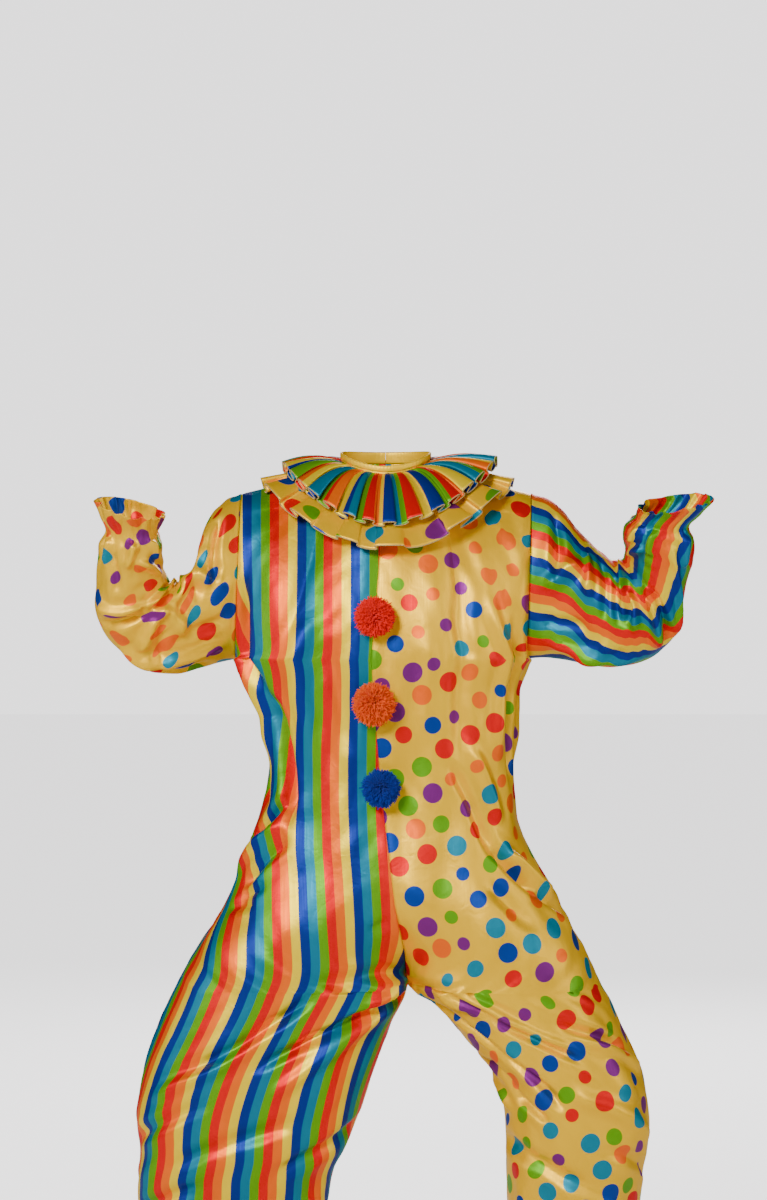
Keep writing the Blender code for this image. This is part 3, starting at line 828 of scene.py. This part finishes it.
HEM_RADIUS = 0.7 * MM  # of the overlocked thread round a frill's edge
PLACKET_WIDTH = 28 * MM
PLACKET_COLUMNS = 14
PLACKET_TOP = -13 * MM
PLACKET_END = -518 * MM
PLACKET_LAYER = 1.5 * MM


def placket(right_back, left_back):
    """The strip over the back opening: both panels' rows near the centre, moved out by a layer."""
    level = panel_levels(RIGHT)
    keep = (level < PLACKET_TOP) & (level > PLACKET_END)
    sides = []
    for panel in (right_back, left_back):
        rows = panel[keep]
        run = run_length(rows, 1)
        far = np.linspace(PLACKET_WIDTH / 2, 0, PLACKET_COLUMNS // 2 + 1)
        cut = [[np.interp(far, r, row[:, i]) for i in range(3)] for r, row in zip(run, rows)]
        sides.append(np.array(cut))
    right, left = (np.moveaxis(side, 1, 2) for side in sides)
    middle = (right[:, -1:] + left[:, -1:]) / 2
    grid = np.concatenate([right[:, :-1], middle, left[:, :-1][:, ::-1]], axis=1)
    normal = outward(grid, 1)
    normal = normal * np.sign(normal[..., 1:2])
    grid = grid + normal * PLACKET_LAYER
    across = np.linspace(-PLACKET_WIDTH / 2, PLACKET_WIDTH / 2, grid.shape[1])[None, :]
    return grid, np.stack(np.broadcast_arrays(across, -level[keep][:, None]), axis=-1)


BAND_HALF = 4.1 * MM  # height of the band above and below its middle
BAND_INNER = 9 * MM  # how much further down its inner layer runs


def neckband():
    """A band folded double round the neck: a flat rounded profile, open below, carried round it.

    Its inner layer runs further down, by a smooth step, and covers the raw edges of frills and
    panels.
    """
    angle = np.linspace(-1, 1, 361)[:, None] * (np.pi - BACK_SLIT / NECK_WIDTH)
    turn = np.linspace(0.05, 0.95, 21)[None, :] * 2 * np.pi
    ripple = 0.25 * MM * np.sin(74 * angle + 2 * np.sin(5 * angle)) * rise(-np.cos(turn), -1, 1)
    up = 4 * MM - BAND_HALF * np.sign(np.cos(turn)) * np.abs(np.cos(turn)) ** 0.7
    up = up - BAND_INNER * rise(turn, 1.6 * np.pi, 1.9 * np.pi)
    out = 1.0 * MM * np.sin(turn) + ripple
    x = (NECK_WIDTH + out) * np.sin(angle)
    y = -(NECK_DEPTH + out) * np.cos(angle)
    grid = points(x, y, neck_height(angle) + up)
    return grid, np.stack(np.broadcast_arrays(angle * NECK_WIDTH, up), axis=-1)


Pompom = namedtuple("Pompom", "name slot colour z radius")
POMPOMS = (
    Pompom("pompom_red", "red_yarn", "FA0804", -222, 27),
    Pompom("pompom_orange", "orange_yarn", "FF5A00", -342, 29),
    Pompom("pompom_blue", "blue_yarn", "04309A", -458, 25.5),
)
POMPOM_SINK = 0.93  # of a pompom's radius, from the cloth to its middle
STRANDS = 2100
STRAND_RINGS = 4
STRAND_SIDES = 4


def pompom_strands(shape, middle):
    """Cut ends of yarn all over a ball: thin tapering prisms, each bent a little its own way.

    Their directions are spread evenly by the golden angle and then shaken; each runs from a little
    over half the radius to its own length, and its tip is moved sideways by the square of the share
    along it.
    """
    draw = np.random.default_rng(int(shape.radius * 10))
    count = np.arange(STRANDS)
    height = 1 - 2 * (count + 0.5) / STRANDS
    turn = count * np.pi * (3 - np.sqrt(5))
    level = np.sqrt(1 - height**2)
    way = points(level * np.cos(turn), level * np.sin(turn), height)
    way = unit(way + draw.normal(0, 0.06, way.shape))
    size = shape.radius * MM * draw.uniform(0.95, 1.02, STRANDS)
    bend = draw.normal(0, 0.07, way.shape) + points(0.0, 0.0, -0.05)
    first = unit(np.cross(way, draw.normal(0, 1, way.shape)))
    second = np.cross(way, first)
    along = np.linspace(0, 1, STRAND_RINGS)[None, :, None, None]
    corner = np.linspace(0, 2 * np.pi, STRAND_SIDES, endpoint=False)[None, None, :, None]
    thick = 1.15 * MM * (1 - 0.55 * along**2) * draw.uniform(0.8, 1.2, (STRANDS, 1, 1, 1))
    line = way[:, None, None] * (0.5 + 0.5 * along) + bend[:, None, None] * along**2
    place = line * size[:, None, None, None]
    ring = np.cos(corner) * first[:, None, None] + np.sin(corner) * second[:, None, None]
    return middle + place + ring * thick


# Materials


def linear(hex_colour):
    """An sRGB hex colour as linear RGBA."""
    srgb = np.array([int(hex_colour[i : i + 2], 16) for i in (0, 2, 4)]) / 255
    rgb = np.where(srgb > 0.04045, ((srgb + 0.055) / 1.055) ** 2.4, srgb / 12.92)
    return (*rgb.tolist(), 1.0)


def add(tree, kind, links=None, ramp=None, **settings):
    """A node of that kind. links joins its inputs to sockets or sets them; ramp gives its stops."""
    made = tree.nodes.new("ShaderNode" + kind)
    for name, value in settings.items():
        setattr(made, name, value)
    if ramp:
        stops = made.color_ramp.elements
        while len(stops) < len(ramp):
            stops.new(1.0)
        for stop, (place, colour) in zip(stops, ramp):
            stop.position = place
            stop.color = colour if len(colour) == 4 else (*colour, 1.0)
    for name, value in (links or {}).items():
        if isinstance(value, bpy.types.NodeSocket):
            tree.links.new(value, made.inputs[name])
        else:
            made.inputs[name].default_value = value
    return made


def material(name, **settings):
    """A named Principled material and its tree; settings go on the shader's own sockets."""
    made = bpy.data.materials.new(name)
    made.use_nodes = True
    shader = made.node_tree.nodes["Principled BSDF"]
    for socket, value in settings.items():
        shader.inputs[socket.replace("_", " ")].default_value = value
    return made, made.node_tree, shader


def wire(tree, shader, **sockets):
    """Joins sockets to the shader's inputs of those names."""
    for name, socket in sockets.items():
        tree.links.new(socket, shader.inputs[name.replace("_", " ")])


def grey(value):
    """A number as a colour with all its parts alike."""
    return (value, value, value, 1.0)


def satin_finish(tree, shader, colour):
    """What every satin here shares: its floating threads' streaks, small crinkles and gloss.

    The threads of satin lie side by side along the cloth and are too fine to show, so they are
    drawn as streaks 1.6 mm apart and 60 mm long. Crinkles are 9 to 14 mm across.
    """
    print_at = add(tree, "UVMap", uv_map="print")
    place = add(tree, "TexCoord")
    stretched = add(
        tree, "Mapping", {"Vector": print_at.outputs["UV"], "Scale": (620.0, 16.0, 1.0)}
    )
    threads = add(
        tree, "TexNoise", {"Vector": stretched.outputs["Vector"], "Scale": 1.0, "Detail": 2.0}
    )
    where = place.outputs["Object"]
    crinkled = {"Vector": where, "Scale": 70.0, "Detail": 3.0, "Roughness": 0.45, "Distortion": 0.9}
    crinkle = add(tree, "TexNoise", crinkled)
    middling = {"From Min": 0.3, "From Max": 0.7}
    gloss = {"Value": threads.outputs["Fac"], **middling, "To Min": 0.42, "To Max": 0.52}
    rough = add(tree, "MapRange", gloss)
    creased = add(
        tree, "Bump", {"Height": crinkle.outputs["Fac"], "Distance": 0.0022, "Strength": 0.2}
    )
    weave = {"Height": threads.outputs["Fac"], "Distance": 0.0003, "Strength": 0.35}
    woven = add(tree, "Bump", {**weave, "Normal": creased.outputs["Normal"]})
    worn = add(tree, "TexNoise", {"Vector": where, "Scale": 9.0, "Detail": 2.0})
    tones = {"Value": worn.outputs["Fac"], **middling, "To Min": 0.94, "To Max": 1.04}
    shade = add(tree, "MapRange", tones)
    toned = add(tree, "HueSaturation", {"Color": colour, "Value": shade.outputs["Result"]})
    wire(
        tree, shader, Base_Color=toned.outputs["Color"],
        Roughness=rough.outputs["Result"], Normal=woven.outputs["Normal"],
    )


SATIN = {"Anisotropic": 0.5, "Specular_IOR_Level": 0.3, "Metallic": 0.5}
STRIPE_REPEAT = 77 * MM
STRIPE_COLOURS = ("E80006", "FF6E00", "FFDA00", "002A88", "007A96", "62A600")
DOT_COLOURS = ("E40006", "FF6A00", "003A98", "00829C", "7A1C7A", "62A600")
DOT_SPACING = 41 * MM
DOT_RADII = (9.4 * MM, 12 * MM, 14 * MM)
GROUND_YELLOW = "FFC600"
BAND_YELLOW = "FFCC00"
# Overlock thread: the darker colour is painted shade in the grooves between its wraps, and the
# paler is its own pale gold on the ridges.
THREAD_SHADE_AND_COLOUR = ("9C7E34", "DCC27A")


def striped_satin():
    """Polyester satin printed with a 77 mm repeat of six stripes along the cloth: glossy,
    saturated, pale where it faces the light.
    """
    made, tree, shader = material("striped_polyester_satin", **SATIN)
    print_at = add(tree, "UVMap", uv_map="print")
    apart = add(tree, "SeparateXYZ", {"Vector": print_at.outputs["UV"]})
    across = {0: apart.outputs["X"], 1: STRIPE_REPEAT}
    repeats = add(tree, "Math", across, operation="DIVIDE")
    part = add(tree, "Math", {0: repeats.outputs[0]}, operation="FRACT")
    stops = [(i / 6, linear(colour)) for i, colour in enumerate(STRIPE_COLOURS)]
    stripes = add(tree, "ValToRGB", {"Fac": part.outputs[0]}, ramp=stops)
    stripes.color_ramp.interpolation = "CONSTANT"
    satin_finish(tree, shader, stripes.outputs["Color"])
    return made


def dotted_satin():
    """Yellow polyester satin printed with dots 19 to 28 mm across, 41 mm apart on average, each in
    one of six colours.
    """
    made, tree, shader = material("dotted_polyester_satin", **SATIN)
    print_at = add(tree, "UVMap", uv_map="print")
    scale = 1 / DOT_SPACING
    turn = {"Vector": print_at.outputs["UV"], "Rotation": (0, 0, 0.42), "Scale": (scale, scale, 1)}
    turned = add(tree, "Mapping", turn)
    spread = {"Vector": turned.outputs["Vector"], "Scale": 1.0, "Randomness": 0.32}
    cells = add(tree, "TexVoronoi", spread, voronoi_dimensions="2D")
    chance = add(tree, "SeparateColor", {"Color": cells.outputs["Color"]})
    sizes = [(place, grey(radius * scale)) for place, radius in zip((0.0, 0.3, 0.6), DOT_RADII)]
    radius = add(tree, "ValToRGB", {"Fac": chance.outputs["Red"]}, ramp=sizes)
    radius.color_ramp.interpolation = "CONSTANT"
    reach = {0: radius.outputs["Color"], 1: cells.outputs["Distance"]}
    inside = add(tree, "Math", reach, operation="SUBTRACT")
    rim = {"Value": inside.outputs[0], "From Min": -0.008, "From Max": 0.008}
    edge = add(tree, "MapRange", rim)
    stops = [(i / 6, linear(colour)) for i, colour in enumerate(DOT_COLOURS)]
    inks = add(tree, "ValToRGB", {"Fac": chance.outputs["Green"]}, ramp=stops)
    inks.color_ramp.interpolation = "CONSTANT"
    printed = add(tree, "Mix", {"Factor": edge.outputs["Result"]}, data_type="RGBA")
    printed.inputs[6].default_value = linear(GROUND_YELLOW)
    tree.links.new(inks.outputs["Color"], printed.inputs[7])
    satin_finish(tree, shader, printed.outputs[2])
    return made


def yellow_satin():
    """Plain yellow polyester satin, folded double for the neckband."""
    made, tree, shader = material("plain_yellow_satin", **SATIN)
    flat = add(tree, "RGB")
    flat.outputs[0].default_value = linear(BAND_YELLOW)
    satin_finish(tree, shader, flat.outputs[0])
    return made


def yarn(name, hex_colour):
    """Cut acrylic yarn: matt and fuzzy, with painted shade in the hollows between the strands and
    painted light on their tops.
    """
    made, tree, shader = material(
        name, Roughness=0.9, Sheen_Weight=0.08, Sheen_Roughness=0.5, Specular_IOR_Level=0.1
    )
    place = add(tree, "TexCoord")
    tufted = {"Vector": place.outputs["Object"], "Scale": 420.0, "Detail": 3.0}
    tufts = add(tree, "TexNoise", tufted)
    # The tufts' bump height also sets the tone: painted shade in its hollows, painted light on its
    # tops.
    base = np.array(linear(hex_colour))
    painted_hollow_shade, light = base * 0.8, np.minimum(base * 1.25 + 0.006, 1)
    stops = [(0.3, tuple(painted_hollow_shade[:3])), (0.62, tuple(light[:3]))]
    tone = add(tree, "ValToRGB", {"Fac": tufts.outputs["Fac"]}, ramp=stops)
    fluff = {"Height": tufts.outputs["Fac"], "Distance": 0.0012, "Strength": 0.6}
    fuzz = add(tree, "Bump", fluff)
    wire(tree, shader, Base_Color=tone.outputs["Color"], Normal=fuzz.outputs["Normal"])
    return made


def overlock_thread():
    """Pale gold polyester thread, overlocked close together round a raw edge, with painted shade in
    the grooves between its wraps.
    """
    made, tree, shader = material("pale_gold_overlock_thread", Roughness=0.6, Sheen_Weight=0.2)
    along = add(tree, "UVMap", uv_map="print")
    wound = {"Vector": along.outputs["UV"], "Scale": 160.0, "Distortion": 1.0, "Detail": 1.0}
    loops = add(tree, "TexWave", wound, bands_direction="X")
    # The wave that raises the ridges also sets the tone: painted shade in the grooves and pale gold
    # on the ridges.
    stops = [(place, linear(colour)) for place, colour in zip((0.2, 0.7), THREAD_SHADE_AND_COLOUR)]
    tone = add(tree, "ValToRGB", {"Fac": loops.outputs["Fac"]}, ramp=stops)
    raised = {"Height": loops.outputs["Fac"], "Distance": 0.0006, "Strength": 0.7}
    ridge = add(tree, "Bump", raised)
    wire(tree, shader, Base_Color=tone.outputs["Color"], Normal=ridge.outputs["Normal"])
    return made


# Making


def piece(name, parts, finish):
    """A mesh from grids: parts are (grid, print map, wraps), with a face between four neighbours.

    With "ring" the last column has the first one's place and is welded to it, and the print map
    keeps a value of its own for it. "tube" marks a closed profile with no such column, whose print
    map is the length along it.
    """
    places, faces, maps = [], [], []
    base = 0
    for grid, prints, wraps in parts:
        rows, columns = grid.shape[:2]
        if wraps == "ring":
            kept = grid[:, :-1]
            index = base + np.arange(rows * (columns - 1)).reshape(rows, columns - 1)
            index = np.concatenate([index, index[:, :1]], axis=1)
        else:
            kept = grid
            index = base + np.arange(rows * columns).reshape(rows, columns)
        if wraps == "tube":
            index = np.concatenate([index, index[:, :1]], axis=1)
            run = np.broadcast_to(run_length(grid, 0)[:, :1], (rows, columns + 1))
            prints = np.stack([run, 0 * run], axis=-1)
        corners = (index[:-1, :-1], index[1:, :-1], index[1:, 1:], index[:-1, 1:])
        faces.append(np.stack(corners, axis=-1).reshape(-1, 4))
        spots = (prints[:-1, :-1], prints[1:, :-1], prints[1:, 1:], prints[:-1, 1:])
        maps.append(np.stack(spots, axis=2).reshape(-1, 2))
        places.append(kept.reshape(-1, 3))
        base += kept.shape[0] * kept.shape[1]
    places, faces, maps = np.concatenate(places), np.concatenate(faces), np.concatenate(maps)
    mesh = bpy.data.meshes.new(name)
    mesh.vertices.add(len(places))
    mesh.vertices.foreach_set("co", places.ravel())
    mesh.loops.add(faces.size)
    mesh.loops.foreach_set("vertex_index", faces.ravel())
    mesh.polygons.add(len(faces))
    mesh.polygons.foreach_set("loop_start", np.arange(len(faces)) * 4)
    mesh.update(calc_edges=True)
    layer = mesh.uv_layers.new(name="print")
    layer.data.foreach_set("uv", maps.ravel())
    mesh.materials.append(finish)
    mesh.shade_smooth()
    made = bpy.data.objects.new(name, mesh)
    bpy.context.scene.collection.objects.link(made)
    return made


def walled(made, flip):
    """Gives cloth its thin wall, inwards and outwards alike, after turning its faces outwards."""
    if flip:
        made.data.flip_normals()
    wall = made.modifiers.new("Wall", "SOLIDIFY")
    wall.thickness = WALL
    wall.offset = 0
    return made


def settle(made, slot, *nodes):
    """Says which body a piece rides on and the nodes that it stands for; its finish's slot is not
    used.
    """
    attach(made, "root")
    if nodes:
        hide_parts(*nodes)


STRIPED = striped_satin()
DOTTED = dotted_satin()
YELLOW = yellow_satin()
THREAD = overlock_thread()

right, left = half_body(RIGHT), half_body(LEFT)
panels = {
    "front_right": (right[FRONT], RIGHT, STRIPED, "striped_satin"),
    "back_right": (right[BACK], RIGHT, STRIPED, "striped_satin"),
    "front_left": (left[FRONT], LEFT, DOTTED, "dotted_satin"),
    "back_left": (left[BACK], LEFT, DOTTED, "dotted_satin"),
}
for name, (grid, half, cloth, slot) in panels.items():
    face = FRONT if name.startswith("front") else BACK
    made = piece(name + "_cloth", [(grid, print_map(grid, half), None)], cloth)
    walled(made, half.side * face > 0)
    settle(made, slot, name)

for name, half, cloth, slot in (
    ("sleeve_right", RIGHT, DOTTED, "dotted_satin"),
    ("sleeve_left", LEFT, STRIPED, "striped_satin"),
):
    grid, prints = sleeve(half)
    made = walled(piece(name + "_cloth", [(grid, prints, "ring")], cloth), half.side > 0)
    settle(made, slot, name)

for name, shape, layer, columns, rows, cloth, slot in (
    ("collar_upper_frill", UPPER_RUFFLE, 1, 660, 30, STRIPED, "striped_satin"),
    ("collar_lower_frill", LOWER_RUFFLE, 2, 560, 36, DOTTED, "dotted_satin"),
):
    grid, prints = ruffle(shape, layer, columns, rows)
    made = walled(piece(name + "_cloth", [(grid, prints, None)], cloth), True)
    settle(made, slot, name)
    hem_grid = tube(grid[-1], grid[-1] - grid[-2], HEM_RADIUS, 6)
    hem = piece(name + "_overlock", [(hem_grid, None, "tube")], THREAD)
    settle(hem, slot)

grid, prints = neckband()
band = walled(piece("neckband_cloth", [(grid, prints, None)], YELLOW), False)
settle(band, "yellow_satin", "neckband")

grid, prints = placket(right[BACK], left[BACK])
strip = walled(piece("back_placket_cloth", [(grid, prints, None)], DOTTED), False)
settle(strip, "dotted_satin", "back_placket")

front_edge = right[FRONT][:, 0]
for shape in POMPOMS:
    name, height = shape.name, shape.z * MM
    x = np.interp(-height, -front_edge[:, 2], front_edge[:, 0])
    y = np.interp(-height, -front_edge[:, 2], front_edge[:, 1]) - shape.radius * MM * POMPOM_SINK
    middle = np.array([x, y, height])
    strands = pompom_strands(shape, middle)
    run = np.linspace(0, 1, STRAND_RINGS)[:, None] * np.ones(STRAND_SIDES)
    index = np.arange(strands[..., 0].size).reshape(strands.shape[:3])
    around = np.concatenate([index, index[:, :, :1]], axis=2)
    corners = (around[:, :-1, :-1], around[:, 1:, :-1], around[:, 1:, 1:], around[:, :-1, 1:])
    quads = np.stack(corners, axis=-1)
    mesh = bpy.data.meshes.new(name + "_yarn")
    ends = index[:, -1].reshape(-1, STRAND_SIDES)
    roots = index[:, 0, ::-1].reshape(-1, STRAND_SIDES)
    every = np.concatenate([quads.reshape(-1, 4), ends, roots])
    mesh.from_pydata(strands.reshape(-1, 3).tolist(), [], every.tolist())
    mesh.materials.append(yarn(name + "_acrylic_yarn", shape.colour))
    mesh.update()
    ball = bpy.data.objects.new(name + "_yarn", mesh)
    bpy.context.scene.collection.objects.link(ball)
    settle(ball, shape.slot, name)


# Floor, lights and camera


BACKDROP = "F1EFF0"
FLOOR_GRAIN = "ECEAEB"
BACKDROP_GLOW = 2.4
FLOOR_LIT = 0.3  # what the lamps already give the floor of that glow
FLOOR_REACH = 30
FLOOR_HEIGHT = -1.39


def floor():
    """A wide pale floor. It glows only where it is looked at, as much as the world does."""
    along = np.linspace(-FLOOR_REACH, FLOOR_REACH, 13)
    grid = points(along[None, :], along[:, None], FLOOR_HEIGHT)
    made, tree, shader = material("pale_studio_floor", Roughness=0.9, Specular_IOR_Level=0.1)
    place = add(tree, "TexCoord")
    grain = add(
        tree, "TexNoise", {"Vector": place.outputs["Object"], "Scale": 30.0, "Detail": 3.0}
    )
    stops = [(0.3, linear(FLOOR_GRAIN)), (0.7, linear(BACKDROP))]
    tone = add(tree, "ValToRGB", {"Fac": grain.outputs["Fac"]}, ramp=stops)
    seen = add(tree, "LightPath")
    strength = {0: seen.outputs["Is Camera Ray"], 1: BACKDROP_GLOW - FLOOR_LIT}
    glow = add(tree, "Math", strength, operation="MULTIPLY")
    shader.inputs["Emission Color"].default_value = linear(BACKDROP)
    wire(tree, shader, Base_Color=tone.outputs["Color"], Emission_Strength=glow.outputs[0])
    sheet = piece("floor", [(grid, grid[..., :2], None)], made)
    sheet.data.flip_normals()


floor()


def area_light(name, place, aim, width, height, power):
    """A white rectangle of light that isn't seen itself, turned to face the place it aims at."""
    data = bpy.data.lights.new(name, "AREA")
    data.shape = "RECTANGLE"
    data.size, data.size_y, data.energy = width, height, power
    lamp = bpy.data.objects.new(name, data)
    bpy.context.scene.collection.objects.link(lamp)
    lamp.visible_camera = False
    lamp.location = place
    lamp.rotation_euler = (Vector(aim) - Vector(place)).to_track_quat("-Z", "Y").to_euler()


area_light("front_softbox", (-1.6, -4.5, 1.5), (0, 0, -0.4), 1.2, 1.0, 245)
area_light("left_softbox", (-3.2, -1.2, 0.6), (0, 0, -0.5), 0.5, 2.2, 22)
area_light("right_softbox", (3.2, -1.6, 0.4), (0, 0, -0.5), 0.5, 2.2, 40)
area_light("back_softbox", (0.8, 4.6, 1.6), (0, 0, -0.5), 2.0, 2.0, 150)

world = bpy.data.worlds.new("studio")
world.use_nodes = True
seen = add(world.node_tree, "LightPath")
seen_or_lit = {"Value": seen.outputs["Is Camera Ray"], "To Min": 0.06, "To Max": BACKDROP_GLOW}
strength = add(world.node_tree, "MapRange", seen_or_lit)
sky = world.node_tree.nodes["Background"]
sky.inputs["Color"].default_value = linear(BACKDROP)
world.node_tree.links.new(strength.outputs["Result"], sky.inputs["Strength"])
bpy.context.scene.world = world

camera_data = bpy.data.cameras.new("camera")
camera_data.lens = 100
camera_data.sensor_width = 36
camera = bpy.data.objects.new("camera", camera_data)
bpy.context.scene.collection.objects.link(camera)
camera.location = (-0.003, -4.72, -0.2)
camera.rotation_euler = (np.pi / 2, 0, 0)
bpy.context.scene.camera = camera
